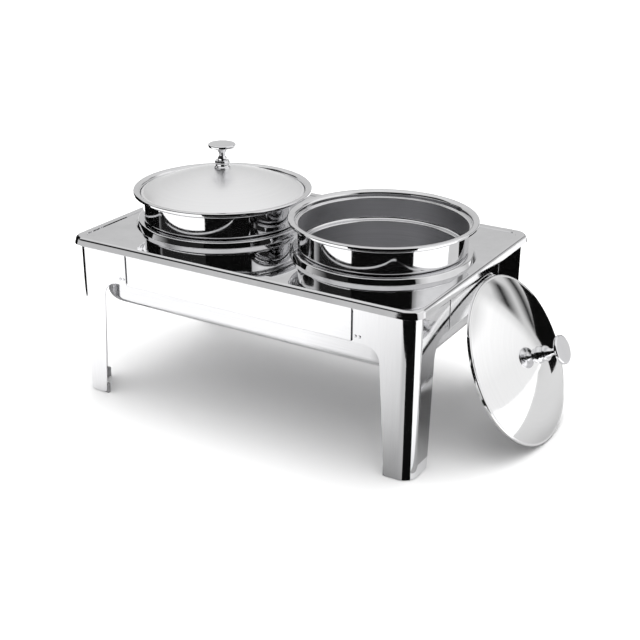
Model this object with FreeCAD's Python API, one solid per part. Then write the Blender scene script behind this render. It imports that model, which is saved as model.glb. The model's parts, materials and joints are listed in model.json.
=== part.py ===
import FreeCAD, Part
import math
import os
from FreeCAD import Vector

# Two-pot chafer: a stamped stainless stand carries a water pan, a cover plate
# with two raised wells, two deep-drawn pots and two knobbed lids. One lid sits
# on its pot, the other leans against the right-hand end of the stand.
# Millimetres. Everything is laid out about the centre of the stand at floor
# level and moved at the end so the whole set is centred on X = 0 and Y = 0.

# Cover plate
COVER_L = 600.0
COVER_W = 394.0
COVER_TOP = 262.0
COVER_LIP = 11.5
COVER_T = 1.0
COVER_CORNER_R = 22.0
COVER_EDGE_R = 4.0
COVER_FLARE = 3.0
BORDER_W = 14.5
FIELD_DROP = 1.5
FIELD_CORNER_R = 14.0

# Wells for the pots
POT_X = 145.3
POT_Y = -5.0
WELL_FOOT_R = 140.2
WELL_CREST_R = 136.0
WELL_HOLE_R = 122.4
WELL_CREST_Z = 270.0
WELL_LIP_Z = 262.5

# Pot
POT_T = 1.0
POT_RIM_Z = 317.0
POT_RIM_R = 142.4
POT_RIM_LIP = 4.4
RECESS_R = 131.4
RECESS_EDGE_R = 6.0
RECESS_Z = 307.0
NECK_R = 127.0
SHOULDER_Z = WELL_CREST_Z + 0.3 + POT_T
BODY_TOP_R = 120.0
BODY_LOW_R = 117.0
POT_FLOOR_Z = 207.0

# Lid, drawn about the centre of its rim plane
LID_T = 0.9
LID_R = 130.6
LID_SKIRT = 5.0
LID_RIM_FLAT = 4.1
LID_RISE = 35.0
LID_BULGE = 5.5
CROWN_R = 14.0
SCREW_HOLE_R = 2.6
LID_SEAT_GAP = 0.3

# Knob, heights above the crown of the lid
COLLAR_R = 13.0
COLLAR_H = 13.5
KNOB_CAP_R = 22.0
KNOB_H = 40.0
SCREW_R = 2.45
SCREW_BORE_R = 2.5
SCREW_DEPTH = 26.0
WASHER_R = 8.0
WASHER_T = 1.0
SCREW_HEAD_R = 4.5
SCREW_HEAD_H = 3.0

# Leaning lid
LEAN_UP = 26.5
LEAN_YAW = -2.0
LEAN_Y = 35.0
LEAN_GAP = 0.3

# Stand: legs and aprons share one outer face
STAND_X = 296.0
STAND_Y = 191.0
STAND_TOP = 260.5
SHEET_T = 1.5
STAND_CORNER_R = 22.0
APRON_LOW = 197.0
APRON_RETURN = 7.0
SEAM_X = 198.2
SEAM_Y = 84.5
SEAM_W = 3.0
LEG_LOW = 1.0
LEG_TOE_R = 7.0
FRONT_ARCH_R = 24.0
SIDE_ARCH_R = 31.0
FRONT_LEG_TOP_X = 240.5
FRONT_LEG_LOW_X = 253.5
SIDE_LEG_TOP_Y = 128.0
SIDE_LEG_LOW_Y = 139.0

# Inner frame
LEDGE_TOP = 257.9
LEDGE_W = 10.5
LEDGE_H = 15.0
BRACKET_T = 2.0
BRACKET_LOW = 201.0
BRACKET_TOP = 241.0
BRACKET_REACH = 30.0
RIVET_R = 1.3
RIVET_HEAD_R = 2.3
RIVET_HEAD_H = 0.8
RIVET_OFFSETS = (5.5, 12.0)
RIVET_Z = 206.5

# Foot pads
PAD_T = 5.0
PAD_H = 16.0
PAD_SHOW = 2.5

# Water pan
PAN_X = 280.0
PAN_Y = 177.0
PAN_T = 1.0
PAN_LOW = 157.0
PAN_TOP = 259.2
PAN_CORNER_R = 60.0
PAN_BASE_R = 14.0
PAN_FLANGE = 11.5


def unit(a, b):
    length = math.hypot(b[0] - a[0], b[1] - a[1])
    return (b[0] - a[0]) / length, (b[1] - a[1]) / length


def left_offset(points, t):
    """Mitre-offset an open run of points towards its left-hand side."""
    out = []
    last = len(points) - 1
    for i, (x, z) in enumerate(points):
        before = unit(points[i - 1], points[i]) if i > 0 else unit(points[0], points[1])
        after = unit(points[i], points[i + 1]) if i < last else before
        nx, nz = -before[1] - after[1], before[0] + after[0]
        scale = 2.0 * t / (nx * nx + nz * nz)
        out.append((x + nx * scale, z + nz * scale))
    return out


def rounded_run(points, radii):
    """Straight and curved edges through the points, each inner corner rounded."""
    edges = []
    start = points[0]
    for i in range(1, len(points) - 1):
        before = unit(points[i - 1], points[i])
        after = unit(points[i], points[i + 1])
        turn = math.acos(max(-1.0, min(1.0, before[0] * after[0] + before[1] * after[1])))
        cut = radii[i - 1] * math.tan(turn / 2.0)
        first = (points[i][0] - before[0] * cut, points[i][1] - before[1] * cut)
        second = (points[i][0] + after[0] * cut, points[i][1] + after[1] * cut)
        bow = radii[i - 1] * (1.0 / math.cos(turn / 2.0) - 1.0)
        toward = (after[0] - before[0], after[1] - before[1])
        size = math.hypot(*toward)
        middle = (points[i][0] + toward[0] / size * bow, points[i][1] + toward[1] / size * bow)
        edges.append(Part.makeLine(in_xz(start), in_xz(first)))
        edges.append(Part.Arc(in_xz(first), in_xz(middle), in_xz(second)).toShape())
        start = second
    edges.append(Part.makeLine(in_xz(start), in_xz(points[-1])))
    return edges


def in_xz(point):
    return Vector(point[0], 0.0, point[1])


def turned_sheet(points, radii, t):
    """Spin a sheet whose shown face follows the points, metal on the left."""
    inner_points = left_offset(points, t)
    inner_radii = []
    for i in range(1, len(points) - 1):
        before = unit(points[i - 1], points[i])
        after = unit(points[i], points[i + 1])
        left_turn = before[0] * after[1] - before[1] * after[0] > 0.0
        inner_radii.append(radii[i - 1] + (-t if left_turn else t))
    outer = rounded_run(points, radii)
    inner = rounded_run(inner_points, inner_radii)
    ends = [
        Part.makeLine(in_xz(points[0]), in_xz(inner_points[0])),
        Part.makeLine(in_xz(points[-1]), in_xz(inner_points[-1])),
    ]
    wire = Part.Wire(Part.__sortEdges__(outer + inner + ends))
    return spin(Part.Face(wire))


def spin(face):
    return face.revolve(Vector(0, 0, 0), Vector(0, 0, 1), 360.0)


def turned_solid(points, radii):
    """Spin a solid whose closed section has a rounded run back to the axis."""
    edges = rounded_run(points, radii)
    edges.append(Part.makeLine(in_xz(points[-1]), in_xz(points[0])))
    return spin(Part.Face(Part.Wire(Part.__sortEdges__(edges))))


def rounded_rectangle(half_x, half_y, r, z):
    """Closed outline of a rectangle with round corners, lying at height z."""
    flat_x, flat_y = half_x - r, half_y - r
    diag = r * math.sqrt(0.5)
    edges = []
    corners = ((1, 1), (-1, 1), (-1, -1), (1, -1))
    for i, (sx, sy) in enumerate(corners):
        on_side = Vector(sx * half_x, sy * flat_y, z)
        on_end = Vector(sx * flat_x, sy * half_y, z)
        mid = Vector(sx * (flat_x + diag), sy * (flat_y + diag), z)
        first, second = (on_side, on_end) if i % 2 == 0 else (on_end, on_side)
        edges.append(Part.Arc(first, mid, second).toShape())
        nx, ny = corners[(i + 1) % 4]
        if i % 2 == 0:
            follow = Vector(nx * flat_x, ny * half_y, z)
        else:
            follow = Vector(nx * half_x, ny * flat_y, z)
        edges.append(Part.makeLine(second, follow))
    return Part.Wire(edges)


def rounded_block(half_x, half_y, r, low, high):
    face = Part.Face(rounded_rectangle(half_x, half_y, r, low))
    return face.extrude(Vector(0, 0, high - low))


def flared_block(half_x, half_y, r, low, high, lip):
    """Rounded block whose sides lean out by the cover's flare over one lip height."""
    out = COVER_FLARE * (high - low) / lip
    return Part.makeLoft(
        [
            rounded_rectangle(half_x + out, half_y + out, r + out, low),
            rounded_rectangle(half_x, half_y, r, high),
        ],
        True, True,
    )


def rim_edges(solid, z):
    """Edges of a solid that lie flat at height z."""
    return [e for e in solid.Edges if abs(e.BoundBox.ZMin - z) < 1e-4 and abs(e.BoundBox.ZMax - z) < 1e-4]


def make_pot():
    points = [
        (POT_RIM_R, POT_RIM_Z - POT_RIM_LIP),
        (POT_RIM_R, POT_RIM_Z),
        (RECESS_R, POT_RIM_Z),
        (RECESS_R, RECESS_Z),
        (NECK_R, RECESS_Z),
        (NECK_R, SHOULDER_Z),
        (BODY_TOP_R, SHOULDER_Z),
        (BODY_LOW_R, POT_FLOOR_Z),
        (0.0, POT_FLOOR_Z),
    ]
    return turned_sheet(points, [2.2, RECESS_EDGE_R, 1.2, 1.6, 4.0, 2.4, 14.0], POT_T)


def make_well_ring():
    points = [
        (WELL_FOOT_R + 3.5, COVER_TOP - FIELD_DROP),
        (WELL_FOOT_R, COVER_TOP - FIELD_DROP),
        (WELL_CREST_R, WELL_CREST_Z),
        (WELL_HOLE_R + 0.4, WELL_CREST_Z),
        (WELL_HOLE_R, WELL_LIP_Z),
    ]
    return turned_sheet(points, [2.2, 3.4, 1.9], COVER_T)


def make_cover():
    outside = flared_block(
        COVER_L / 2, COVER_W / 2, COVER_CORNER_R, COVER_TOP - COVER_LIP, COVER_TOP, COVER_LIP,
    )
    outside = outside.makeFillet(COVER_EDGE_R, rim_edges(outside, COVER_TOP))
    inside_x, inside_y = COVER_L / 2 - COVER_T, COVER_W / 2 - COVER_T
    inside = flared_block(
        inside_x, inside_y, COVER_CORNER_R - COVER_T, COVER_TOP - COVER_LIP - 1.0, COVER_TOP - COVER_T,
        COVER_LIP,
    )
    inside = inside.makeFillet(COVER_EDGE_R - COVER_T, rim_edges(inside, COVER_TOP - COVER_T))
    field_x, field_y = COVER_L / 2 - BORDER_W, COVER_W / 2 - BORDER_W
    pocket = Part.makeLoft(
        [
            rounded_rectangle(field_x - FIELD_DROP, field_y - FIELD_DROP, FIELD_CORNER_R - FIELD_DROP,
                              COVER_TOP - FIELD_DROP),
            rounded_rectangle(field_x, field_y, FIELD_CORNER_R, COVER_TOP),
            rounded_rectangle(field_x + 1.0, field_y + 1.0, FIELD_CORNER_R + 1.0, COVER_TOP + 1.0),
        ],
        True, True,
    )
    under = Part.makeLoft(
        [
            rounded_rectangle(field_x + 1.0, field_y + 1.0, FIELD_CORNER_R + 1.0,
                              COVER_TOP - FIELD_DROP - COVER_T),
            rounded_rectangle(field_x + 1.0 + FIELD_DROP, field_y + 1.0 + FIELD_DROP,
                              FIELD_CORNER_R + 1.0 + FIELD_DROP, COVER_TOP - COVER_T),
        ],
        True, True,
    )
    keep = inside.common(
        rounded_block(field_x + 40.0, field_y + 40.0, 30.0, 0.0, COVER_TOP - FIELD_DROP - COVER_T)
    )
    border_space = inside.cut(keep).cut(under)
    plate = outside.cut(keep).cut(border_space).cut(pocket)
    for side in (-1, 1):
        spot = Vector(side * POT_X, POT_Y, 0)
        hole = Part.makeCylinder(WELL_FOOT_R + 2.5, 60.0, spot + Vector(0, 0, 230.0))
        ring = make_well_ring()
        ring.translate(spot)
        plate = plate.cut(hole).fuse(ring)
    return plate.removeSplitter()


def make_lid():
    """Lid about the centre of its rim plane: skirt below, dome above."""
    dome_r = LID_R - LID_RIM_FLAT
    skirt = turned_sheet([(LID_R, -LID_SKIRT), (LID_R, 0.0), (dome_r - 2.0, 0.0)], [1.9], LID_T)
    chord = (CROWN_R - dome_r, LID_RISE)
    length = math.hypot(*chord)
    arc_r = (length * length / 4.0 + LID_BULGE * LID_BULGE) / (2.0 * LID_BULGE)
    up = (-chord[1] / length, -chord[0] / length)
    up = (-up[0], up[1]) if up[1] > 0 else (up[0], -up[1])
    mid = ((dome_r + CROWN_R) / 2.0 + up[0] * LID_BULGE, LID_RISE / 2.0 + up[1] * LID_BULGE)
    centre = (mid[0] - up[0] * arc_r, mid[1] - up[1] * arc_r)

    def inward(point):
        dx, dz = point[0] - centre[0], point[1] - centre[1]
        scale = (arc_r - LID_T) / arc_r
        return centre[0] + dx * scale, centre[1] + dz * scale

    edge, crown = (dome_r, 0.0), (CROWN_R, LID_RISE)
    low_edge, low_mid, low_crown = inward(edge), inward(mid), inward(crown)
    section = [
        Part.Arc(in_xz(edge), in_xz(mid), in_xz(crown)).toShape(),
        Part.makeLine(in_xz(crown), in_xz((SCREW_HOLE_R, LID_RISE))),
        Part.makeLine(in_xz((SCREW_HOLE_R, LID_RISE)), in_xz((SCREW_HOLE_R, LID_RISE - LID_T))),
        Part.makeLine(in_xz((SCREW_HOLE_R, LID_RISE - LID_T)), in_xz((low_crown[0], LID_RISE - LID_T))),
        Part.makeLine(in_xz((low_crown[0], LID_RISE - LID_T)), in_xz(low_crown)),
        Part.Arc(in_xz(low_crown), in_xz(low_mid), in_xz(low_edge)).toShape(),
        Part.makeLine(in_xz(low_edge), in_xz(edge)),
    ]
    dome = spin(Part.Face(Part.Wire(Part.__sortEdges__([e for e in section if e.Length > 1e-6]))))
    return skirt.fuse(dome).removeSplitter()


def make_collar():
    z = LID_RISE
    points = [
        (SCREW_HOLE_R, z),
        (COLLAR_R, z),
        (COLLAR_R, z + 2.8),
        (COLLAR_R - 2.0, z + 5.2),
        (COLLAR_R - 2.0, z + 8.4),
        (COLLAR_R - 0.8, z + 10.6),
        (COLLAR_R - 2.2, z + COLLAR_H),
        (SCREW_HOLE_R, z + COLLAR_H),
    ]
    return turned_solid(points, [0.6, 0.6, 1.5, 1.5, 1.2, 1.0])


def make_knob():
    z = LID_RISE + COLLAR_H
    top = LID_RISE + KNOB_H
    points = [
        (0.0, z),
        (7.4, z),
        (7.4, z + 3.0),
        (4.8, z + 7.6),
        (5.6, z + 12.5),
        (9.6, z + 20.2),
        (KNOB_CAP_R, z + 21.4),
        (KNOB_CAP_R, top),
        (0.0, top),
    ]
    knob = turned_solid(points, [0.8, 2.0, 3.5, 6.0, 2.5, 1.6, 2.6])
    bore = Part.makeCylinder(SCREW_BORE_R, SCREW_DEPTH - COLLAR_H, Vector(0, 0, z - 1.0))
    return knob.cut(bore)


def make_washer():
    under = LID_RISE - LID_T
    disc = Part.makeCylinder(WASHER_R, WASHER_T, Vector(0, 0, under - WASHER_T))
    return disc.cut(Part.makeCylinder(SCREW_HOLE_R, WASHER_T, Vector(0, 0, under - WASHER_T)))


def make_screw():
    seat = LID_RISE - LID_T - WASHER_T
    head = Part.makeCylinder(SCREW_HEAD_R, SCREW_HEAD_H, Vector(0, 0, seat - SCREW_HEAD_H))
    head = head.makeFillet(1.2, rim_edges(head, seat - SCREW_HEAD_H))
    shank = Part.makeCylinder(SCREW_R, SCREW_DEPTH - 2.5, Vector(0, 0, seat))
    slot_start = Vector(-0.6, -SCREW_HEAD_R - 1.0, seat - SCREW_HEAD_H)
    slot = Part.makeBox(1.2, 2 * SCREW_HEAD_R + 2.0, 1.4, slot_start)
    return head.fuse(shank).cut(slot).removeSplitter()


def leg_outline(seam, arch_side, low_side, arch_r, beyond):
    """Face outline of one leg plate: (across, height) from seam to past the corner."""
    return rounded_run(
        [
            (beyond, STAND_TOP),
            (seam, STAND_TOP),
            (seam, APRON_LOW),
            (arch_side, APRON_LOW),
            (low_side, LEG_LOW),
            (beyond, LEG_LOW),
        ],
        [0.4, 1.5, arch_r, LEG_TOE_R],
    )


def make_leg():
    """The leg at +X +Y: a bent corner sheet trimmed by its two face outlines."""
    skin = rounded_block(STAND_X, STAND_Y, STAND_CORNER_R, LEG_LOW, STAND_TOP)
    skin = skin.cut(
        rounded_block(STAND_X - SHEET_T, STAND_Y - SHEET_T, STAND_CORNER_R - SHEET_T, 0.0, STAND_TOP + 1.0)
    )
    front = leg_outline(SEAM_X + SEAM_W / 2, FRONT_LEG_TOP_X, FRONT_LEG_LOW_X, FRONT_ARCH_R, STAND_X + 20.0)
    front.append(Part.makeLine(in_xz((STAND_X + 20.0, LEG_LOW)), in_xz((STAND_X + 20.0, STAND_TOP))))
    front_block = Part.Face(Part.Wire(Part.__sortEdges__(front))).extrude(Vector(0, STAND_Y + 20.0, 0))
    side = leg_outline(SEAM_Y + SEAM_W / 2, SIDE_LEG_TOP_Y, SIDE_LEG_LOW_Y, SIDE_ARCH_R, STAND_Y + 20.0)
    side.append(Part.makeLine(in_xz((STAND_Y + 20.0, LEG_LOW)), in_xz((STAND_Y + 20.0, STAND_TOP))))
    side_block = Part.Face(Part.Wire(Part.__sortEdges__(side))).extrude(Vector(0, -STAND_X - 20.0, 0))
    side_block.rotate(Vector(0, 0, 0), Vector(0, 0, 1), 90.0)
    return skin.common(front_block).common(side_block)


def make_apron(half_length, face):
    """Apron seen along +Y: flat face at y = face, small return along its foot."""
    length = 2 * half_length
    web_start = Vector(-half_length, face - SHEET_T, APRON_LOW)
    foot_start = Vector(-half_length, face - APRON_RETURN, APRON_LOW)
    web = Part.makeBox(length, SHEET_T, STAND_TOP - APRON_LOW, web_start)
    foot = Part.makeBox(length, APRON_RETURN, SHEET_T, foot_start)
    apron = web.fuse(foot).removeSplitter()
    bend = [
        e for e in apron.Edges
        if e.Length > length - 0.1
        and abs(e.BoundBox.YMax - face) < 1e-4
        and abs(e.BoundBox.ZMin - APRON_LOW) < 1e-4
    ]
    return apron.makeFillet(SHEET_T * 0.9, bend)


def make_ledge():
    inner_x, inner_y = STAND_X - SHEET_T, STAND_Y - SHEET_T
    inner_r = STAND_CORNER_R - SHEET_T
    ring = rounded_block(inner_x, inner_y, inner_r, LEDGE_TOP - LEDGE_H, LEDGE_TOP)
    ring = ring.cut(
        rounded_block(inner_x - LEDGE_W, inner_y - LEDGE_W, PAN_CORNER_R + 3.0, LEDGE_TOP - SHEET_T,
                      LEDGE_TOP + 1.0)
    )
    return ring.cut(
        rounded_block(inner_x - SHEET_T, inner_y - SHEET_T, inner_r - SHEET_T, 0.0, LEDGE_TOP - SHEET_T)
    )


def rivet_axes():
    """Point on the outer face and outward direction of each rivet of the +X +Y leg."""
    for offset in RIVET_OFFSETS:
        yield Vector(SEAM_X + offset, STAND_Y, RIVET_Z), Vector(0, 1, 0)
        yield Vector(STAND_X, SEAM_Y + offset, RIVET_Z), Vector(1, 0, 0)


def make_bracket():
    """Corner angle behind the +X +Y leg, reaching past both seams."""
    outer_x, outer_y = STAND_X - SHEET_T, STAND_Y - SHEET_T
    outer_r = STAND_CORNER_R - SHEET_T
    band = rounded_block(outer_x, outer_y, outer_r, BRACKET_LOW, BRACKET_TOP)
    band = band.cut(rounded_block(outer_x - BRACKET_T, outer_y - BRACKET_T, outer_r - BRACKET_T, 0.0, 300.0))
    reach = Part.makeBox(
        outer_x - SEAM_X + BRACKET_REACH, outer_y - SEAM_Y + BRACKET_REACH, 400.0,
        Vector(SEAM_X - BRACKET_REACH, SEAM_Y - BRACKET_REACH, 0.0),
    )
    return band.common(reach)


def make_rivet(point, out):
    head = Part.makeSphere(8.0, point - out * (8.0 - RIVET_HEAD_H), out, 0, 90, 360)
    outside = Part.makeCylinder(RIVET_HEAD_R, 3.0, point, out)
    shank_length = SHEET_T + BRACKET_T + 0.5
    shank = Part.makeCylinder(RIVET_R, shank_length, point - out * shank_length, out)
    tail = Part.makeCylinder(RIVET_HEAD_R - 0.4, 1.0, point - out * (SHEET_T + BRACKET_T + 1.0), out)
    return head.common(outside).fuse([shank, tail]).removeSplitter()


def make_pad():
    """Glide inside the toe of the +X +Y leg, showing past both leg edges."""
    outer_x, outer_y = STAND_X - SHEET_T, STAND_Y - SHEET_T
    outer_r = STAND_CORNER_R - SHEET_T
    pad = rounded_block(outer_x, outer_y, outer_r, 0.0, PAD_H)
    pad = pad.cut(rounded_block(outer_x - PAD_T, outer_y - PAD_T, outer_r - PAD_T, -1.0, PAD_H + 1.0))
    window = Part.makeBox(
        outer_x - FRONT_LEG_LOW_X + PAD_SHOW, outer_y - SIDE_LEG_LOW_Y + PAD_SHOW, PAD_H,
        Vector(FRONT_LEG_LOW_X - PAD_SHOW, SIDE_LEG_LOW_Y - PAD_SHOW, 0.0),
    )
    return pad.common(window)


def make_pan():
    outside = rounded_block(PAN_X, PAN_Y, PAN_CORNER_R, PAN_LOW, PAN_TOP)
    outside = outside.makeFillet(PAN_BASE_R, rim_edges(outside, PAN_LOW))
    inside = rounded_block(PAN_X - PAN_T, PAN_Y - PAN_T, PAN_CORNER_R - PAN_T, PAN_LOW + PAN_T, PAN_TOP + 1.0)
    inside = inside.makeFillet(PAN_BASE_R - PAN_T, rim_edges(inside, PAN_LOW + PAN_T))
    flange = rounded_block(
        PAN_X + PAN_FLANGE, PAN_Y + PAN_FLANGE, PAN_CORNER_R + PAN_FLANGE, PAN_TOP - PAN_T, PAN_TOP
    )
    return outside.fuse(flange).cut(inside).removeSplitter()


def mirrored(shape, sx, sy):
    """Copy of a +X +Y corner piece moved to the corner at (sx, sy)."""
    result = shape
    if sx < 0:
        result = result.mirror(Vector(0, 0, 0), Vector(1, 0, 0))
    if sy < 0:
        result = result.mirror(Vector(0, 0, 0), Vector(0, 1, 0))
    return result


parts = {}

# Stand: four corner legs with their brackets, pads and rivets
holes = [
    Part.makeCylinder(RIVET_R + 0.03, 12.0, point - out * 6.0, out)
    for point, out in rivet_axes()
]
leg = make_leg().cut(Part.makeCompound(holes))
bracket = make_bracket().cut(Part.makeCompound(holes))
pad = make_pad()
rivets = []
for depth, sy in (("front", -1), ("rear", 1)):
    for hand, sx in (("left", -1), ("right", 1)):
        corner = depth + "_" + hand
        parts["leg_" + corner] = mirrored(leg, sx, sy)
        parts["bracket_" + corner] = mirrored(bracket, sx, sy)
        parts["foot_" + corner] = mirrored(pad, sx, sy)
        rivets += [mirrored(make_rivet(point, out), sx, sy) for point, out in rivet_axes()]
parts["rivets"] = Part.makeCompound(rivets)

long_apron = make_apron(SEAM_X - SEAM_W / 2, STAND_Y)
short_apron = make_apron(SEAM_Y - SEAM_W / 2, STAND_X)
parts["apron_rear"] = long_apron
for name, base, angle in (
    ("apron_front", long_apron, 180.0),
    ("apron_right", short_apron, -90.0),
    ("apron_left", short_apron, 90.0),
):
    turned = base.copy()
    turned.rotate(Vector(0, 0, 0), Vector(0, 0, 1), angle)
    parts[name] = turned
parts["support_ledge"] = make_ledge()

# Pan, cover and pots, stacked one on the other
parts["water_pan"] = make_pan()
parts["cover_plate"] = make_cover()
for hand, side in (("left", -1), ("right", 1)):
    pot = make_pot()
    pot.translate(Vector(side * POT_X, POT_Y, 0))
    parts["pot_" + hand] = pot

# Lids: the left one seated, the right one leaning on the end of the stand
lid_set = {
    "lid": make_lid(),
    "knob_collar": make_collar(),
    "knob": make_knob(),
    "knob_washer": make_washer(),
    "knob_screw": make_screw(),
}
for name, shape in lid_set.items():
    seated = shape.copy()
    seated.translate(Vector(-POT_X, POT_Y, RECESS_Z + LID_SEAT_GAP + LID_SKIRT))
    parts[name + "_left"] = seated
    leaning = shape.copy()
    leaning.rotate(Vector(0, 0, 0), Vector(0, 1, 0), 90.0 - LEAN_UP)
    leaning.rotate(Vector(0, 0, 0), Vector(0, 0, 1), LEAN_YAW)
    parts[name + "_right"] = leaning
lid_box = parts["lid_right"].optimalBoundingBox(True, False)
rest = Vector(STAND_X + LEAN_GAP - lid_box.XMin, LEAN_Y, 0.2 - lid_box.ZMin)
for name in lid_set:
    parts[name + "_right"].translate(rest)

# Centre the whole set
full_box = FreeCAD.BoundBox()
for shape in parts.values():
    full_box.add(shape.optimalBoundingBox(True, False))
to_centre = Vector(-full_box.Center.x, -full_box.Center.y, -full_box.ZMin)

os.makedirs("parts", exist_ok=True)
for name, shape in parts.items():
    shape.translate(to_centre)
    shape.exportStep("parts/" + name + ".step")
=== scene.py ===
"""Two-pot chafer in polished stainless steel: stand, water pan, cover, two pots and two lids."""
import json
import math

import bmesh
import bpy
from mathutils import Matrix, Vector


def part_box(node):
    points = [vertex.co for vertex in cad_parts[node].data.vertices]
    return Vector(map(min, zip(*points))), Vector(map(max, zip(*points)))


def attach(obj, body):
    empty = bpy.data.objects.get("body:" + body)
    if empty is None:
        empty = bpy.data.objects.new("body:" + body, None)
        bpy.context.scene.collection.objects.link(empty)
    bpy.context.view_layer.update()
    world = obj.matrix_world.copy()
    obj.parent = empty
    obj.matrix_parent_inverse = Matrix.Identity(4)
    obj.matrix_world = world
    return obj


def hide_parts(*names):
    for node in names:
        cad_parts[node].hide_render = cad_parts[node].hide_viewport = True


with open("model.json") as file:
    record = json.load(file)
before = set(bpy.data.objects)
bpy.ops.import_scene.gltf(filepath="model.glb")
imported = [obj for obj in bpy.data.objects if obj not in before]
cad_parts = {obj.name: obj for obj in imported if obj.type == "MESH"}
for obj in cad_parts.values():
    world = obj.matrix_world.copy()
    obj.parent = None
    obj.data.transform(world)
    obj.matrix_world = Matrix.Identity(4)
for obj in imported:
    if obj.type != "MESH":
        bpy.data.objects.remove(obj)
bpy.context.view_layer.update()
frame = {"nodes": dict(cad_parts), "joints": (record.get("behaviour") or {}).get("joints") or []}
MM = 0.001
HANDS = ("left", "right")
CORNERS = ("front_left", "front_right", "rear_left", "rear_right")

SHARP_ANGLE = math.radians(42.0)
FLAT_ANGLE = math.radians(0.2)
LEAST_TURN = 0.02
SEAM_GAP = 2e-6
TOUCHING = 1e-6
BIG_ROUND_STEPS = 180
SMALL_ROUND_STEPS = 96
DOME_STEP = 0.9
KNOB_STEP = 8.0


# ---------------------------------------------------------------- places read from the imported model

def middle(node):
    low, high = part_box(node)
    return (low + high) / 2.0


PLATE_MID = middle("cover_plate")
POT_AXIS = {hand: Vector((middle("pot_" + hand).x, middle("pot_" + hand).y, 0.0)) for hand in HANDS}

# The seated lid gives the height of its crown above the washer; the leaning lid uses the same height.
LID_RISE = 35.0
WASHER_RISE = middle("knob_washer_left").z - (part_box("lid_left")[1].z - LID_RISE * MM)
lean_axis = [Vector(j["axis"]) for j in frame["joints"] if j["name"] == "lid_right_draw"][0].normalized()
LID_AXIS = {"left": Vector((0.0, 0.0, 1.0)), "right": lean_axis}
LID_SEAT = {hand: middle("knob_washer_" + hand) - LID_AXIS[hand] * WASHER_RISE for hand in HANDS}


# ---------------------------------------------------------------- mesh helpers

def wire_run(bm, corners, step=9.0):
    """A run of edges through (radius, height, rounding) corners in millimetres, in the XZ plane."""
    points = [Vector((r, 0.0, z)) * MM for r, z, _ in corners]
    verts = [bm.verts.new(p) for p in points]
    for a, b in zip(verts, verts[1:]):
        bm.edges.new((a, b))
    for i in range(1, len(corners) - 1):
        rounding = corners[i][2] * MM
        turn = (points[i] - points[i - 1]).angle(points[i + 1] - points[i])
        if rounding and turn > LEAST_TURN:
            bmesh.ops.bevel(
                bm, geom=[verts[i]], offset=rounding * math.tan(turn / 2.0), offset_type="OFFSET",
                segments=max(3, round(math.degrees(turn) / step)), profile=0.5, affect="VERTICES",
                material=-1, clamp_overlap=True,
            )


def face_right(bm, first, second):
    """Turn an open shell so its faces look to the right of the run from first to second."""
    (r0, z0), (r1, z1) = first[:2], second[:2]
    want = Vector((z1 - z0, 0.0, r0 - r1))
    mid = Vector(((r0 + r1) / 2.0, 0.0, (z0 + z1) / 2.0)) * MM
    bmesh.ops.recalc_face_normals(bm, faces=bm.faces[:])
    near = min(bm.faces, key=lambda f: (f.calc_center_median() - mid).length)
    if near.normal.dot(want) < 0.0:
        bmesh.ops.reverse_faces(bm, faces=bm.faces[:])


def turned(bm, corners, steps, step=9.0):
    """Turn a run about Z; its faces look to the right of the run."""
    wire_run(bm, corners, step)
    bmesh.ops.spin(
        bm, geom=bm.verts[:] + bm.edges[:], angle=math.tau, steps=steps, axis=(0, 0, 1), cent=(0, 0, 0),
        use_merge=True, use_duplicate=False,
    )
    bmesh.ops.remove_doubles(bm, verts=bm.verts[:], dist=SEAM_GAP)
    face_right(bm, corners[0], corners[1])


def linked(name, data):
    """A new object round the data, in the scene."""
    obj = bpy.data.objects.new(name, data)
    bpy.context.scene.collection.objects.link(obj)
    return obj


def to_object(bm, name, materials, wall=None, back=0, edge=0.0, turn=None, place=None):
    """Finish a bmesh as an object at the origin with its place in its mesh."""
    if turn is not None:
        bmesh.ops.transform(bm, matrix=turn, verts=bm.verts[:])
    if place is not None:
        bmesh.ops.translate(bm, vec=place, verts=bm.verts[:])
    mesh = bpy.data.meshes.new(name)
    bm.to_mesh(mesh)
    bm.free()
    mesh.polygons.foreach_set("use_smooth", [True] * len(mesh.polygons))
    mesh.set_sharp_from_angle(angle=SHARP_ANGLE)
    obj = linked(name, mesh)
    for material in materials:
        mesh.materials.append(material)
    if wall:
        shell = obj.modifiers.new("wall", "SOLIDIFY")
        shell.thickness = wall * MM
        shell.offset = -1.0
        shell.use_even_offset = True
        shell.material_offset = back
        shell.material_offset_rim = 0
    if edge:
        rounding = obj.modifiers.new("edge", "BEVEL")
        rounding.width = edge * MM
        rounding.segments = 2
        rounding.limit_method = "ANGLE"
        rounding.angle_limit = SHARP_ANGLE
    even = obj.modifiers.new("even_shading", "WEIGHTED_NORMAL")
    even.keep_sharp = True
    return obj


def ride_as(obj, node, body):
    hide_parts(node)
    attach(obj, body)
    return obj


def axis_turn(axis):
    """Rotation that takes +Z to the axis without twisting the piece about it."""
    return Vector((0.0, 0.0, 1.0)).rotation_difference(axis).to_matrix().to_4x4()


def rounded_ring(bm, half_x, half_y, radius, z, segments=8):
    """Closed rounded-rectangle loop in millimetres about the cover centre; returns its edges."""
    before = set(bm.edges)
    corners = [
        bm.verts.new((sx * half_x * MM, sy * half_y * MM, z * MM))
        for sx, sy in ((1, 1), (-1, 1), (-1, -1), (1, -1))
    ]
    for a, b in zip(corners, corners[1:] + corners[:1]):
        bm.edges.new((a, b))
    bmesh.ops.bevel(
        bm, geom=corners, offset=radius * MM, offset_type="OFFSET", segments=segments, profile=0.5,
        affect="VERTICES", material=-1, clamp_overlap=True,
    )
    return [e for e in bm.edges if e not in before]


def round_off(bm, edges, offset, segments):
    bmesh.ops.bevel(
        bm, geom=[e for e in edges if e.is_valid], offset=offset * MM, offset_type="OFFSET",
        segments=segments, profile=0.5, affect="EDGES", material=-1, clamp_overlap=True,
    )


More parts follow.
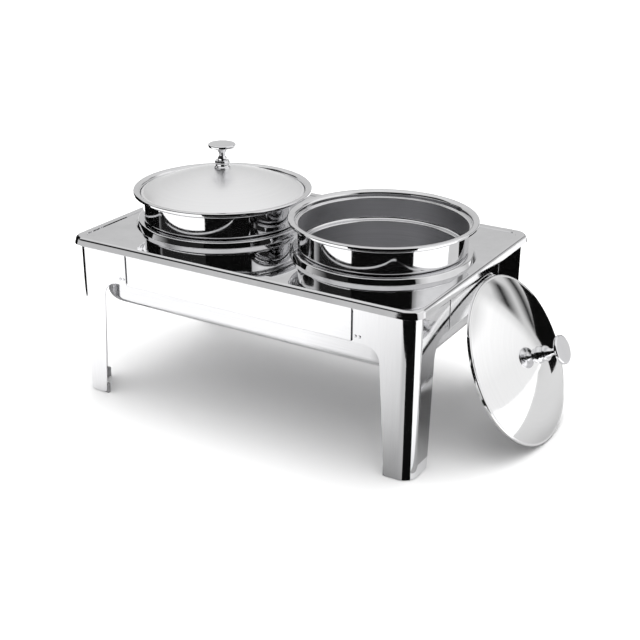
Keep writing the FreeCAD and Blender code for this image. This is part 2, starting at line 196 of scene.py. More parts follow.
def dressed(node, body, materials, edge=0.25):
    """A copy of a CAD piece with its triangles merged, sharp edges eased and its shading evened."""
    bm = bmesh.new()
    bm.from_mesh(frame["nodes"][node].data)
    bmesh.ops.remove_doubles(bm, verts=bm.verts[:], dist=TOUCHING)
    bmesh.ops.dissolve_limit(
        bm, angle_limit=FLAT_ANGLE, use_dissolve_boundaries=False, verts=bm.verts[:],
        edges=bm.edges[:], delimit={"NORMAL"},
    )
    name = "pad_" + node if "foot" in node else "steel_" + node
    obj = to_object(bm, name, materials, edge=edge)
    return ride_as(obj, node, body)


# ---------------------------------------------------------------- shader groups and materials

def group(name, inputs, outputs):
    tree = bpy.data.node_groups.new(name, "ShaderNodeTree")
    for label, kind, value in inputs:
        socket = tree.interface.new_socket(label, in_out="INPUT", socket_type=kind)
        if value is not None:
            socket.default_value = value
    for label, kind in outputs:
        tree.interface.new_socket(label, in_out="OUTPUT", socket_type=kind)
    return tree, tree.nodes.new("NodeGroupInput"), tree.nodes.new("NodeGroupOutput")


def add(tree, kind, **settings):
    node = tree.nodes.new(kind)
    for key, value in settings.items():
        setattr(node, key, value)
    return node


def join(tree, source, target):
    tree.links.new(source, target)


def math_node(tree, operation, a, b=None):
    node = add(tree, "ShaderNodeMath", operation=operation)
    for socket, value in ((0, a), (1, b)):
        if value is None:
            continue
        if isinstance(value, (int, float)):
            node.inputs[socket].default_value = value
        else:
            join(tree, value, node.inputs[socket])
    return node.outputs[0]


def spread(tree, value, low, high, to_low, to_high):
    node = add(tree, "ShaderNodeMapRange")
    join(tree, value, node.inputs["Value"])
    for label, number in (("From Min", low), ("From Max", high), ("To Min", to_low), ("To Max", to_high)):
        if isinstance(number, (int, float)):
            node.inputs[label].default_value = number
        else:
            join(tree, number, node.inputs[label])
    return node.outputs["Result"]


def noise(tree, vector, scale, detail, rough):
    node = add(tree, "ShaderNodeTexNoise")
    join(tree, vector, node.inputs["Vector"])
    node.inputs["Scale"].default_value = scale
    node.inputs["Detail"].default_value = detail
    node.inputs["Roughness"].default_value = rough
    return node.outputs["Fac"]


# heights, depths and the clearance are in metres; the roughening is added to the roughness
SCRATCH_ROUGHENING = 0.05
SCRATCH_DEPTH = 0.000004
WAVE_HEIGHT = 0.00045
GRAIN_HEIGHT = 0.00001
SPECK_HEIGHT = 0.00005
AXIS_CLEARANCE = 0.02
ROUND_SQUEEZE = 0.012

# turn of each family of scratches and how far the coordinate is squeezed along X, Y and Z
SCRATCH_RUNS = (
    (0.5, (900.0, 18.0, 60.0)),
    (-0.9, (22.0, 1100.0, 70.0)),
    (1.9, (60.0, 30.0, 1000.0)),
)


def wear_group():
    """Handling marks on polished metal: smudges, fine random scratches and a slow sheet wave."""
    tree, start, end = group(
        "handling_marks",
        [("Vector", "NodeSocketVector", None), ("Smudge", "NodeSocketFloat", 0.04),
         ("Scratch", "NodeSocketFloat", 0.5), ("Wave", "NodeSocketFloat", 1.0),
         ("Gloss", "NodeSocketFloat", 0.06)],
        [("Roughness", "NodeSocketFloat"), ("Height", "NodeSocketFloat"), ("Tint", "NodeSocketFloat")],
    )
    vector = start.outputs["Vector"]
    smear = noise(tree, vector, 22.0, 4.0, 0.62)
    cloud = noise(tree, vector, 6.0, 3.0, 0.55)
    smudge = spread(tree, smear, 0.46, 0.72, 0.0, 1.0)
    smudge = math_node(tree, "MULTIPLY", smudge, start.outputs["Smudge"])
    lines = []
    for turn, squeeze in SCRATCH_RUNS:
        mapping = add(tree, "ShaderNodeMapping")
        mapping.inputs["Rotation"].default_value = (turn, 0.6 * turn, turn)
        mapping.inputs["Scale"].default_value = squeeze
        join(tree, vector, mapping.inputs["Vector"])
        fine = noise(tree, mapping.outputs["Vector"], 1.0, 1.0, 0.4)
        lines.append(spread(tree, fine, 0.68, 0.78, 0.0, 1.0))
    scratch = math_node(tree, "MAXIMUM", math_node(tree, "MAXIMUM", lines[0], lines[1]), lines[2])
    scratch = math_node(tree, "MULTIPLY", scratch, start.outputs["Scratch"])
    wave = math_node(tree, "MULTIPLY", cloud, start.outputs["Wave"])
    rough = math_node(tree, "ADD", start.outputs["Gloss"], smudge)
    rough = math_node(tree, "ADD", rough, math_node(tree, "MULTIPLY", scratch, SCRATCH_ROUGHENING))
    height = math_node(tree, "SUBTRACT", math_node(tree, "MULTIPLY", wave, WAVE_HEIGHT),
                       math_node(tree, "MULTIPLY", scratch, SCRATCH_DEPTH))
    join(tree, rough, end.inputs["Roughness"])
    join(tree, height, end.inputs["Height"])
    join(tree, spread(tree, smear, 0.3, 0.75, 1.0, 0.0), end.inputs["Tint"])
    return tree


def grain_group():
    """Straight brushed grain: long fine lines along one direction of the mapped coordinate."""
    tree, start, end = group(
        "brushed_grain",
        [("Vector", "NodeSocketVector", None), ("Depth", "NodeSocketFloat", 1.0),
         ("Gloss", "NodeSocketFloat", 0.2), ("Spread", "NodeSocketFloat", 0.06)],
        [("Roughness", "NodeSocketFloat"), ("Height", "NodeSocketFloat"), ("Tint", "NodeSocketFloat")],
    )
    vector = start.outputs["Vector"]
    coarse = noise(tree, vector, 1.0, 3.0, 0.6)
    fine = noise(tree, vector, 3.7, 2.0, 0.5)
    coarse = math_node(tree, "MULTIPLY", coarse, 0.6)
    fine = math_node(tree, "MULTIPLY", fine, 0.4)
    both = math_node(tree, "ADD", coarse, fine)
    change = spread(tree, both, 0.3, 0.7, -1.0, 1.0)
    change = math_node(tree, "MULTIPLY", change, start.outputs["Spread"])
    join(tree, math_node(tree, "ADD", start.outputs["Gloss"], change), end.inputs["Roughness"])
    height = math_node(tree, "MULTIPLY", both, GRAIN_HEIGHT)
    join(tree, math_node(tree, "MULTIPLY", height, start.outputs["Depth"]), end.inputs["Height"])
    join(tree, both, end.inputs["Tint"])
    return tree


def flat_length(tree, x, y):
    squares = [math_node(tree, "MULTIPLY", side, side) for side in (x, y)]
    return math_node(tree, "SQRT", math_node(tree, "ADD", *squares))


def lathe_group():
    """Turns a coordinate centred on an axis into (radius plus height, bearing) for concentric brushing."""
    tree, start, end = group(
        "lathe_coordinates", [("Vector", "NodeSocketVector", None)], [("Vector", "NodeSocketVector")],
    )
    split = add(tree, "ShaderNodeSeparateXYZ")
    join(tree, start.outputs["Vector"], split.inputs[0])
    x, y, z = split.outputs
    radius = flat_length(tree, x, y)
    near = math_node(tree, "ADD", radius, AXIS_CLEARANCE)
    merge = add(tree, "ShaderNodeCombineXYZ")
    join(tree, math_node(tree, "ADD", radius, z), merge.inputs[0])
    for socket, side in ((1, x), (2, y)):
        bearing = math_node(tree, "DIVIDE", side, near)
        join(tree, math_node(tree, "MULTIPLY", bearing, ROUND_SQUEEZE), merge.inputs[socket])
    join(tree, merge.outputs[0], end.inputs["Vector"])
    return tree


WEAR, GRAIN, LATHE = wear_group(), grain_group(), lathe_group()


def use(tree, node_tree, **values):
    node = tree.nodes.new("ShaderNodeGroup")
    node.node_tree = node_tree
    for label, value in values.items():
        if isinstance(value, (int, float)):
            node.inputs[label].default_value = value
        else:
            join(tree, value, node.inputs[label])
    return node


def blank(name, metallic=1.0, **shader_values):
    material = bpy.data.materials.new(name)
    material.use_nodes = True
    tree = material.node_tree
    shader = tree.nodes["Principled BSDF"]
    shader.inputs["Metallic"].default_value = metallic
    for label, value in shader_values.items():
        shader.inputs[label.replace("_", " ")].default_value = value
    return material, tree, shader


def object_coordinates(tree, scale=(1, 1, 1)):
    where = add(tree, "ShaderNodeTexCoord")
    mapping = add(tree, "ShaderNodeMapping")
    mapping.inputs["Scale"].default_value = scale
    join(tree, where.outputs["Object"], mapping.inputs["Vector"])
    return mapping.outputs["Vector"]


def shade(tree, fac, dark, light, low=0.3, high=0.7):
    ramp = add(tree, "ShaderNodeMix", data_type="RGBA")
    ramp.inputs[6].default_value = (*dark, 1.0)
    ramp.inputs[7].default_value = (*light, 1.0)
    join(tree, spread(tree, fac, low, high, 0.0, 1.0), ramp.inputs[0])
    return ramp.outputs[2]


def bump(tree, shader, height):
    node = add(tree, "ShaderNodeBump")
    node.inputs["Strength"].default_value = 1.0
    node.inputs["Distance"].default_value = 1.0
    join(tree, height, node.inputs["Height"])
    join(tree, node.outputs["Normal"], shader.inputs["Normal"])


def mirror_steel(name, light, dark, gloss=0.05, smudge=0.05, scratch=0.6, wave=0.3):
    """Buffed stainless steel with handling marks."""
    material, tree, shader = blank(name)
    marks = use(tree, WEAR, Vector=object_coordinates(tree), Smudge=smudge, Scratch=scratch, Wave=wave,
                Gloss=gloss)
    join(tree, shade(tree, marks.outputs["Tint"], dark, light, 0.0, 1.0), shader.inputs["Base Color"])
    join(tree, marks.outputs["Roughness"], shader.inputs["Roughness"])
    bump(tree, shader, marks.outputs["Height"])
    return material


def grain_and_marks(tree, shader, grain, marks):
    join(tree, math_node(tree, "ADD", grain.outputs["Roughness"], marks.outputs["Roughness"]),
         shader.inputs["Roughness"])
    bump(tree, shader, math_node(tree, "ADD", grain.outputs["Height"], marks.outputs["Height"]))


def brushed_steel(name, light, dark, run, gloss, spread_, depth):
    """Stainless steel with a straight grain; run squeezes the coordinate across the grain."""
    material, tree, shader = blank(name)
    grain = use(tree, GRAIN, Vector=object_coordinates(tree, scale=run), Depth=depth, Gloss=gloss,
                Spread=spread_)
    marks = use(tree, WEAR, Vector=object_coordinates(tree), Smudge=0.05, Scratch=0.4, Wave=0.25, Gloss=0.0)
    join(tree, shade(tree, grain.outputs["Tint"], dark, light), shader.inputs["Base Color"])
    grain_and_marks(tree, shader, grain, marks)
    return material


def spun_steel(name, light, dark, centre, turn, gloss, spread_, depth, lines=900.0, smudge=0.05):
    """Stainless steel with concentric lathe lines about an axis."""
    material, tree, shader = blank(name)
    local = add(tree, "ShaderNodeMapping", vector_type="TEXTURE")
    where = add(tree, "ShaderNodeTexCoord")
    local.inputs["Location"].default_value = centre
    local.inputs["Rotation"].default_value = turn
    join(tree, where.outputs["Object"], local.inputs["Vector"])
    lathe = use(tree, LATHE, Vector=local.outputs["Vector"])
    fine = add(tree, "ShaderNodeMapping")
    fine.inputs["Scale"].default_value = (lines, 60.0, 60.0)
    join(tree, lathe.outputs["Vector"], fine.inputs["Vector"])
    grain = use(tree, GRAIN, Vector=fine.outputs["Vector"], Depth=depth, Gloss=gloss, Spread=spread_)
    marks = use(tree, WEAR, Vector=object_coordinates(tree), Smudge=smudge, Scratch=0.5, Wave=0.2, Gloss=0.0)
    join(tree, shade(tree, grain.outputs["Tint"], dark, light), shader.inputs["Base Color"])
    grain_and_marks(tree, shader, grain, marks)
    return material


def moulded_plastic(name, light, dark):
    """Grey moulded plastic with a fine spark-eroded texture and scuffs."""
    material, tree, shader = blank(name, 0.0)
    vector = object_coordinates(tree)
    speck = noise(tree, vector, 1600.0, 2.0, 0.6)
    scuff = noise(tree, vector, 90.0, 4.0, 0.65)
    join(tree, shade(tree, scuff, dark, light, 0.35, 0.7), shader.inputs["Base Color"])
    join(tree, spread(tree, scuff, 0.3, 0.7, 0.42, 0.6), shader.inputs["Roughness"])
    bump(tree, shader, math_node(tree, "MULTIPLY", speck, SPECK_HEIGHT))
    return material


def lean_rotation(axis):
    return tuple(Vector((0.0, 0.0, 1.0)).rotation_difference(axis).to_euler())


POT_MIRROR = mirror_steel("pot_mirror_finish", (0.83, 0.83, 0.84), (0.74, 0.74, 0.75), smudge=0.03)
COVER_MIRROR = mirror_steel(
    "cover_mirror_finish", (0.80, 0.80, 0.81), (0.70, 0.70, 0.71), gloss=0.03, smudge=0.03, wave=0.5,
)
LEG_FINISH = brushed_steel(
    "leg_polished_finish", (0.78, 0.78, 0.79), (0.70, 0.70, 0.71), (900.0, 900.0, 14.0), 0.05, 0.02, 0.15,
)
APRON_FINISH = brushed_steel(
    "apron_polished_finish", (0.78, 0.78, 0.79), (0.72, 0.72, 0.73), (14.0, 14.0, 900.0), 0.06, 0.02, 0.15,
)
# drawn steel a little duller than the apron, its colour also lowered as painted shade under the cover
PAN_SHADED_FINISH = brushed_steel(
    "pan_drawn_finish_painted_shade", (0.74, 0.74, 0.75), (0.64, 0.64, 0.65), (10.0, 10.0, 700.0), 0.12, 0.04, 0.5,
)
# dull mill-finish steel, its colour also darkened well below bare steel as painted shade at the leg corners
# and seams
BRACKET_SHADED_FINISH = brushed_steel(
    "bracket_mill_finish_painted_shade", (0.20, 0.20, 0.21), (0.12, 0.12, 0.13), (80.0, 80.0, 300.0), 0.36, 0.1, 2.0,
)
LEDGE_FINISH = brushed_steel(
    "ledge_mill_finish", (0.60, 0.60, 0.61), (0.45, 0.45, 0.46), (300.0, 300.0, 60.0), 0.3, 0.1, 2.0,
)
RIVET_FINISH = mirror_steel("rivet_finish", (0.75, 0.75, 0.76), (0.55, 0.55, 0.57), gloss=0.12, smudge=0.1)
WASHER_FINISH = mirror_steel("washer_finish", (0.65, 0.65, 0.66), (0.5, 0.5, 0.52), gloss=0.2, smudge=0.1)
SCREW_FINISH = mirror_steel("screw_finish", (0.62, 0.62, 0.63), (0.45, 0.45, 0.47), gloss=0.18, smudge=0.1)
KNOB_CHROME = mirror_steel(
    "knob_chrome", (0.88, 0.88, 0.89), (0.80, 0.80, 0.82), gloss=0.02, smudge=0.04, scratch=0.3, wave=0.1,
)
COLLAR_CHROME = mirror_steel(
    "collar_chrome", (0.84, 0.84, 0.85), (0.74, 0.74, 0.76), gloss=0.03, smudge=0.04, scratch=0.3, wave=0.1,
)
FOOT_PLASTIC = moulded_plastic("foot_moulded_plastic", (0.36, 0.36, 0.37), (0.26, 0.26, 0.27))
POT_INSIDE = {
    hand: spun_steel("pot_inside_satin_" + hand, (0.60, 0.60, 0.615), (0.50, 0.50, 0.515), POT_AXIS[hand],
                     (0, 0, 0), 0.34, 0.05, 1.0)
    for hand in HANDS
}
LID_GLOSS = {"left": 0.32, "right": 0.07}
LID_FINISH = {
    hand: spun_steel("lid_buffed_finish_" + hand, (0.93, 0.93, 0.935), (0.89, 0.89, 0.895), LID_SEAT[hand],
                     lean_rotation(LID_AXIS[hand]), LID_GLOSS[hand], 0.02, 0.03, lines=700.0, smudge=0.03)
    for hand in HANDS
}


# ---------------------------------------------------------------- pots

POT_RUN = [
    (142.4, 312.6, 0.0), (142.4, 317.0, 2.2), (131.4, 317.0, 6.0), (131.4, 307.0, 1.2), (127.0, 307.0, 1.6),
    (127.0, 271.3, 4.4), (120.0, 271.3, 2.4), (117.0, 207.0, 14.0), (0.0, 207.0, 0.0),
]

# the rim above this height, and a band about the shoulder, are mirror bright inside as well
RIM_FROM = 306.0
SHOULDER_AT = 273.3
SHOULDER_HALF = 3.6
BRIGHT = 1

for hand in HANDS:
    bm = bmesh.new()
    turned(bm, POT_RUN, BIG_ROUND_STEPS)
    for face in bm.faces:
        spot = face.calc_center_median()
        if spot.z > RIM_FROM * MM or abs(spot.z - SHOULDER_AT * MM) < SHOULDER_HALF * MM:
            face.material_index = BRIGHT
    pot = to_object(
        bm, "drawn_pot_" + hand, [POT_INSIDE[hand], POT_MIRROR, POT_MIRROR], wall=1.0, back=BRIGHT,
        edge=0.3, place=POT_AXIS[hand],
    )
    ride_as(pot, "pot_" + hand, "pot_" + hand)


# ---------------------------------------------------------------- cover plate

# rings are made this much apart in height, bridged, and then lowered to their places
RING_LIFT = 20.0
LIP_HEIGHT = 250.5
BORDER_HEIGHT = 262.0
FIELD_HEIGHT = 260.5
RIM_ROUNDING = 4.0
BORDER_ROUNDING = 0.55
WELL_RUN = [
    (140.3, FIELD_HEIGHT, 0.0), (139.6, FIELD_HEIGHT, 0.9), (136.0, 270.0, 3.4), (122.8, 270.0, 1.9),
    (122.4, 262.5, 0.0),
]


def lower(bm, edges, drop):
    bmesh.ops.translate(bm, vec=(0.0, 0.0, -drop * MM), verts=list({v for e in edges for v in e.verts}))


def cover():
    """The cover sheet: lip, border, field and two raised wells, as one open sheet."""
    bm = bmesh.new()
    lip = rounded_ring(bm, 303.0, 200.0, 25.0, LIP_HEIGHT, 12)
    rim = rounded_ring(bm, 300.0, 197.0, 22.0, BORDER_HEIGHT, 12)
    inner = rounded_ring(bm, 287.1, 182.5, 14.0, BORDER_HEIGHT + RING_LIFT, 12)
    field = rounded_ring(bm, 285.9, 181.3, 12.8, FIELD_HEIGHT + 2.0 * RING_LIFT, 12)
    for a, b in ((lip, rim), (rim, inner), (inner, field)):
        bmesh.ops.bridge_loops(bm, edges=a + b)
    lower(bm, inner, RING_LIFT)
    lower(bm, field, 2.0 * RING_LIFT)
    holes = []
    for side in HANDS:
        shift = POT_AXIS[side] - PLATE_MID
        ring = bmesh.new()
        turned(ring, WELL_RUN, BIG_ROUND_STEPS)
        bmesh.ops.translate(ring, vec=(shift.x, shift.y, 0.0), verts=ring.verts[:])
        scratch = bpy.data.meshes.new("well_ring")
        ring.to_mesh(scratch)
        ring.free()
        known = set(bm.edges)
        bm.from_mesh(scratch)
        bpy.data.meshes.remove(scratch)
        bm.edges.ensure_lookup_table()
        holes += [
            e for e in bm.edges
            if e not in known and e.is_boundary and abs(e.verts[0].co.z - FIELD_HEIGHT * MM) < TOUCHING
        ]
    inside = [e for e in field if e.is_valid]
    bmesh.ops.triangle_fill(
        bm, edges=inside + holes, normal=(0.0, 0.0, 1.0), use_beauty=True, use_dissolve=False,
    )
    bmesh.ops.recalc_face_normals(bm, faces=bm.faces[:])
    largest = max(bm.faces, key=lambda f: f.calc_area())
    flattest = max(bm.faces, key=lambda f: abs(f.normal.z) * f.calc_area())
    if largest.normal.z < 0.0 or flattest.normal.z < 0.0:
        bmesh.ops.reverse_faces(bm, faces=bm.faces[:])
    round_off(bm, rim, RIM_ROUNDING, 7)
    round_off(bm, [e for e in inner + field if e.is_valid and len(e.link_faces) == 2], BORDER_ROUNDING, 3)
    return bm


plate = to_object(cover(), "cover_sheet", [COVER_MIRROR], wall=1.0, edge=0.25,
                  place=Vector((PLATE_MID.x, PLATE_MID.y, 0.0)))
ride_as(plate, "cover_plate", "cover")


# ---------------------------------------------------------------- water pan

FLANGE_HEIGHT = 259.2
PAN_BOTTOM = 157.0
BOTTOM_ROUNDING = 14.0
MOUTH_ROUNDING = 2.0


def water_pan():
    """The pan as one open sheet: flange, wall and bottom."""
    bm = bmesh.new()
    flange = rounded_ring(bm, 291.5, 188.5, 71.5, FLANGE_HEIGHT + RING_LIFT, 16)
    mouth = rounded_ring(bm, 280.0, 177.0, 60.0, FLANGE_HEIGHT, 16)
    base = rounded_ring(bm, 280.0, 177.0, 60.0, PAN_BOTTOM, 16)
    bmesh.ops.bridge_loops(bm, edges=flange + mouth)
    lower(bm, flange, RING_LIFT)
    bmesh.ops.bridge_loops(bm, edges=mouth + base)
    bmesh.ops.edgeloop_fill(bm, edges=base)
    bmesh.ops.recalc_face_normals(bm, faces=bm.faces[:])
    bottom = min(bm.faces, key=lambda f: f.calc_center_median().z)
    if bottom.normal.z > 0.0:
        bmesh.ops.reverse_faces(bm, faces=bm.faces[:])
    round_off(bm, base, BOTTOM_ROUNDING, 8)
    round_off(bm, mouth, MOUTH_ROUNDING, 4)
    return bm


pan = to_object(water_pan(), "deep_water_pan", [PAN_SHADED_FINISH], wall=1.0, edge=0.25,
                place=Vector((PLATE_MID.x, PLATE_MID.y, 0.0)))
ride_as(pan, "water_pan", "water_pan")


# ---------------------------------------------------------------- lids and knobs

LID_RUN = [(130.6, -5.0, 0.0), (130.6, 0.0, 1.9), (126.5, 0.0, 0.8), (73.5, 28.1, 300.0),
           (14.0, LID_RISE, 1.0), (2.6, LID_RISE, 0.0)]
COLLAR_RUN = [(2.6, 0.0, 0.0), (13.0, 0.0, 0.5), (13.0, 2.8, 0.6), (11.0, 5.2, 1.5), (11.0, 8.4, 1.5),
              (12.2, 10.6, 1.2), (10.8, 13.5, 1.0), (2.6, 13.5, 0.0)]
KNOB_RUN = [(0.0, 13.5, 0.0), (7.4, 13.5, 0.5), (7.4, 16.5, 0.8), (4.8, 21.1, 2.0), (5.6, 26.0, 3.5),
            (9.6, 33.7, 6.0), (22.0, 34.9, 1.8), (22.0, 40.0, 2.2), (0.0, 40.0, 0.0)]

for hand in HANDS:
    axis, seat = LID_AXIS[hand], LID_SEAT[hand]
    turn = axis_turn(axis)
    lid_body = "lid_" + hand

    bm = bmesh.new()
    turned(bm, LID_RUN, BIG_ROUND_STEPS, step=DOME_STEP)
    lid = to_object(bm, "domed_lid_" + hand, [LID_FINISH[hand]], wall=0.9, edge=0.25, turn=turn,
                    place=seat)
    ride_as(lid, lid_body, lid_body)

    for name, run, node, slot, material in (
        ("spool_collar_", COLLAR_RUN, "knob_collar_", "collar_chrome", COLLAR_CHROME),
        ("button_knob_", KNOB_RUN, "knob_", "knob_chrome", KNOB_CHROME),
    ):
        bm = bmesh.new()
        turned(bm, run, SMALL_ROUND_STEPS, step=KNOB_STEP)
        bmesh.ops.recalc_face_normals(bm, faces=bm.faces[:])
        piece = to_object(bm, name + hand, [material], turn=turn, place=seat + axis * LID_RISE * MM)
        ride_as(piece, node + hand, lid_body)

    dressed("knob_washer_" + hand, lid_body, [WASHER_FINISH], 0.1)
    dressed("knob_screw_" + hand, lid_body, [SCREW_FINISH], 0.1)


# ---------------------------------------------------------------- stand

for corner in CORNERS:
    dressed("leg_" + corner, "stand", [LEG_FINISH], 0.3)
    dressed("bracket_" + corner, "stand", [BRACKET_SHADED_FINISH], 0.2)
    dressed("foot_" + corner, "stand", [FOOT_PLASTIC], 0.4)
for side in ("front", "rear", "left", "right"):
    dressed("apron_" + side, "stand", [APRON_FINISH], 0.25)
dressed("support_ledge", "stand", [LEDGE_FINISH], 0.2)
dressed("rivets", "stand", [RIVET_FINISH], 0.15)


# ---------------------------------------------------------------- studio

# bearing from the front, half width and softness in degrees; lowest and highest sine of height;
# factor on the brightness
STUDIO_BANDS = (
    (0.0, 70.0, 6.0, 0.17, 0.74, 0.03),
    (112.0, 32.0, 6.0, -1.00, 0.66, 1.45),
    (170.0, 13.0, 3.0, 0.07, 0.20, 0.04),
    (158.0, 8.0, 2.5, 0.34, 0.47, 0.02),
)
BAND_SOFT = 0.06
LEAST_FLAT = 0.001

# sines of two heights, and the brightness below the first and above the second
METAL_SEES = (0.25, 0.9, 0.80, 1.08)
OTHERS_SEE = (0.25, 1.0, 0.0, 2.7)
# the eye sees one even brightness all round
EYE_SEES = 1.25


def studio_world():
    """White surroundings for the eye; the metal sees a soft studio with darker bands."""
    world = bpy.data.worlds.new("studio")
    world.use_nodes = True
    bpy.context.scene.world = world
    tree = world.node_tree
    tree.nodes.clear()
    where = add(tree, "ShaderNodeTexCoord")
    split = add(tree, "ShaderNodeSeparateXYZ")
    join(tree, where.outputs["Generated"], split.inputs[0])
    x, y, z = split.outputs
    flat = math_node(tree, "MAXIMUM", flat_length(tree, x, y), LEAST_FLAT)

    def toward(angle):
        """Cosine of the bearing between the ray and an azimuth measured from the front."""
        a = math.radians(angle)
        dot = math_node(tree, "ADD", math_node(tree, "MULTIPLY", x, math.sin(a)),
                        math_node(tree, "MULTIPLY", y, -math.cos(a)))
        return math_node(tree, "DIVIDE", dot, flat)

    def window(angle, half, soft):
        outer, inner = math.cos(math.radians(half + soft)), math.cos(math.radians(half - soft))
        return spread(tree, toward(angle), outer, inner, 0.0, 1.0)

    def band(low, high):
        up = spread(tree, z, low - BAND_SOFT, low + BAND_SOFT, 0.0, 1.0)
        down = spread(tree, z, high - BAND_SOFT, high + BAND_SOFT, 1.0, 0.0)
        return math_node(tree, "MULTIPLY", up, down)

    level = spread(tree, z, *METAL_SEES)
    for angle, half, soft, low, high, factor in STUDIO_BANDS:
        mask = math_node(tree, "MULTIPLY", window(angle, half, soft), band(low, high))
        level = math_node(tree, "MULTIPLY", level, spread(tree, mask, 0.0, 1.0, 1.0, factor))
    seen = add(tree, "ShaderNodeLightPath")
    shown = add(tree, "ShaderNodeMix", data_type="FLOAT")
    join(tree, seen.outputs["Is Glossy Ray"], shown.inputs[0])
    join(tree, spread(tree, z, *OTHERS_SEE), shown.inputs[2])
    join(tree, level, shown.inputs[3])
    open_view = add(tree, "ShaderNodeMix", data_type="FLOAT")
    join(tree, seen.outputs["Is Camera Ray"], open_view.inputs[0])
    join(tree, shown.outputs[0], open_view.inputs[2])
    open_view.inputs[3].default_value = EYE_SEES
    background = add(tree, "ShaderNodeBackground")
    join(tree, open_view.outputs[0], background.inputs["Strength"])
    output = add(tree, "ShaderNodeOutputWorld")
    join(tree, background.outputs[0], output.inputs["Surface"])


studio_world()


def softbox(name, place, aim, size, power):
    data = bpy.data.lights.new(name, "AREA")
    data.shape = "RECTANGLE"
    data.size, data.size_y = size
    data.energy = power
    lamp = linked(name, data)
    lamp.location = place
    lamp.rotation_euler = (Vector(aim) - Vector(place)).to_track_quat("-Z", "Y").to_euler()
    return lamp


def quad(name, corners, material):
    """One flat staged sheet through four corners."""
    bm = bmesh.new()
    bm.faces.new([bm.verts.new(c) for c in corners])
    mesh = bpy.data.meshes.new(name)
    bm.to_mesh(mesh)
    bm.free()
    mesh.materials.append(material)
    obj = linked(name, mesh)
    return obj


def metal_only(card):
    card.visible_camera = False
    card.visible_diffuse = False
    card.visible_shadow = False
    card.visible_transmission = False


def painted_dark_reflection_board(name, start, stop, height):
    """An upright black board that only the metal sees, as in a product studio: a painted dark reflection in
    the steel.
    """
    paint, _, _ = blank("black_painted_reflection_board", 0.0, Base_Color=(BLACK, BLACK, BLACK, 1.0), Specular_IOR_Level=0.0,
                        Roughness=1.0)
    foot = [(*start, 0.0), (*stop, 0.0)]
    metal_only(quad(name, foot + [(*stop, height), (*start, height)], paint))


def painted_floor_reflection(name, corners, near_x, near, far_x, far):
    """A sheet on the floor that only the metal sees, its grey running from near to far along X: a painted
    reflection of floor shade in the steel.
    """
    paint, tree, shader = blank(name, 0.0, Specular_IOR_Level=0.0, Roughness=1.0)
    split = add(tree, "ShaderNodeSeparateXYZ")
    join(tree, object_coordinates(tree), split.inputs[0])
    tone = shade(tree, split.outputs[0], (near,) * 3, (far,) * 3, near_x, far_x)
    join(tree, tone, shader.inputs["Base Color"])
    metal_only(quad(name, [(x, y, CARD_LIFT) for x, y in corners], paint))


def along(start, bearing, reach):
    """A floor point at a bearing from the front, measured at start."""
    a = math.radians(bearing)
    return (start[0] + math.sin(a) * reach, start[1] - math.cos(a) * reach)


# darkness of the painted dark reflections on the boards and floor sheets
BLACK = 0.004
MID_X = PLATE_MID.x
CARD_LIFT = 0.0012

# the floor cards at the front start from two points on the rounded corner of the front right leg
CORNER_R = 0.022
NEAR_LEFT_BEARING, NEAR_RIGHT_BEARING = 21.0, 53.0
FAR_LEFT_BEARING, FAR_RIGHT_BEARING, FAR_REACH = 17.0, 80.0, 0.6
leg_low, leg_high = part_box("leg_front_right")
corner_centre = (leg_high.x - CORNER_R, leg_low.y + CORNER_R)
near_left = along(corner_centre, NEAR_LEFT_BEARING, CORNER_R)
near_right = along(corner_centre, NEAR_RIGHT_BEARING, CORNER_R)
far_left = along(near_left, FAR_LEFT_BEARING, FAR_REACH)
far_right = along(near_right, FAR_RIGHT_BEARING, FAR_REACH)

# painted dark reflections: black boards that only the metal sees stand for the unlit studio seen in the
# steel
painted_dark_reflection_board("front_board", (MID_X, -0.79), (MID_X + 0.844, -0.327), 1.1)
painted_dark_reflection_board("side_board", (MID_X - 0.684, -0.32), (MID_X - 0.714, 0.15), 0.6)
painted_dark_reflection_board("rear_board", (MID_X + 0.17, 0.46), (MID_X + 0.53, 0.40), 0.20)

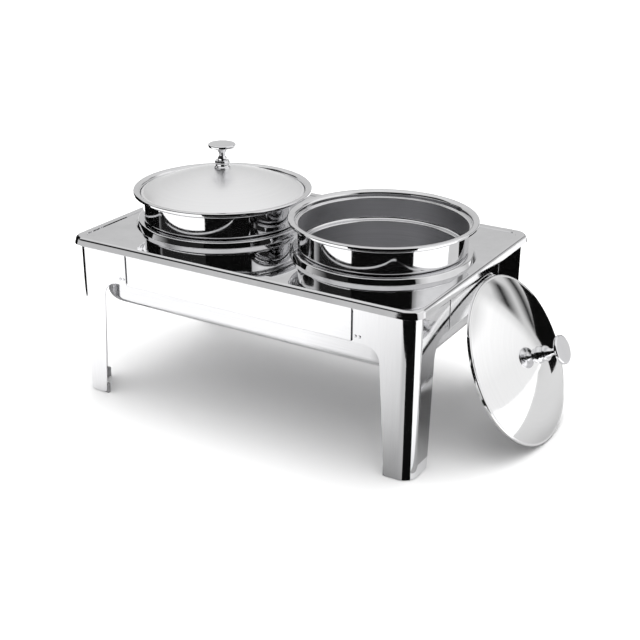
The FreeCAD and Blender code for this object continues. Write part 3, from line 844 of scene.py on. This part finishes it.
# painted reflections: floor sheets that only the metal sees, black and graded grey, stand for dark and
# shaded floor seen in the steel
front_shade_corners = [
    along(near_left, -90.0, 0.20), near_left, far_left, along(near_left, -8.0, 0.8),
    along(near_left, -42.0, 0.7),
]
rear_shadow_corners = [(MID_X + 0.31, -0.19), (MID_X + 0.43, -0.10), (MID_X + 1.87, 1.4), (MID_X + 0.31, 1.7)]
painted_floor_reflection("front_floor_painted_dark_reflection", [near_left, near_right, far_right, far_left], 0.0, BLACK, 1.0, BLACK)
painted_floor_reflection("front_floor_painted_shade_reflection", front_shade_corners, leg_high.x - 0.05, 0.42, leg_high.x - 0.42, 0.92)
painted_floor_reflection("rear_floor_painted_shadow_reflection", rear_shadow_corners, 0.0, 0.46, 3.0, 0.46)

LAMP_PLACE, LAMP_AIM = (-0.15, 0.35, 2.3), (0.0, 0.0, 0.1)
LAMP_SIZE, LAMP_POWER = (2.2, 1.8), 30.0
overhead = softbox("overhead", LAMP_PLACE, LAMP_AIM, LAMP_SIZE, LAMP_POWER)
overhead.visible_glossy = False

FLOOR_HALF = 6.0
bm = bmesh.new()
bmesh.ops.create_grid(bm, x_segments=1, y_segments=1, size=FLOOR_HALF)
floor_mesh = bpy.data.meshes.new("floor")
bm.to_mesh(floor_mesh)
bm.free()
pale_floor, _, _ = blank("pale_floor", 0.0, Base_Color=(0.92, 0.92, 0.92, 1.0), Specular_IOR_Level=0.0,
                         Roughness=0.9)
floor_mesh.materials.append(pale_floor)
floor = linked("floor", floor_mesh)

SENSOR_WIDTH = 36.0
FOCAL_LENGTH = 67.87
CAMERA_ROLL = math.radians(0.339)
STAND_POINT = Vector((MID_X + 0.93765, -1.52055, 0.87699))
AIM_POINT = Vector((MID_X + 0.04432, -0.01814, 0.13218))
view = bpy.data.cameras.new("view")
view.sensor_width = SENSOR_WIDTH
view.lens = FOCAL_LENGTH
camera = linked("view", view)
camera.location = STAND_POINT
level_view = (AIM_POINT - STAND_POINT).to_track_quat("-Z", "Y").to_matrix().to_4x4()
camera.rotation_euler = (level_view @ Matrix.Rotation(CAMERA_ROLL, 4, "Z")).to_euler()
bpy.context.scene.camera = camera
bpy.context.scene.view_settings.view_transform = "Standard"
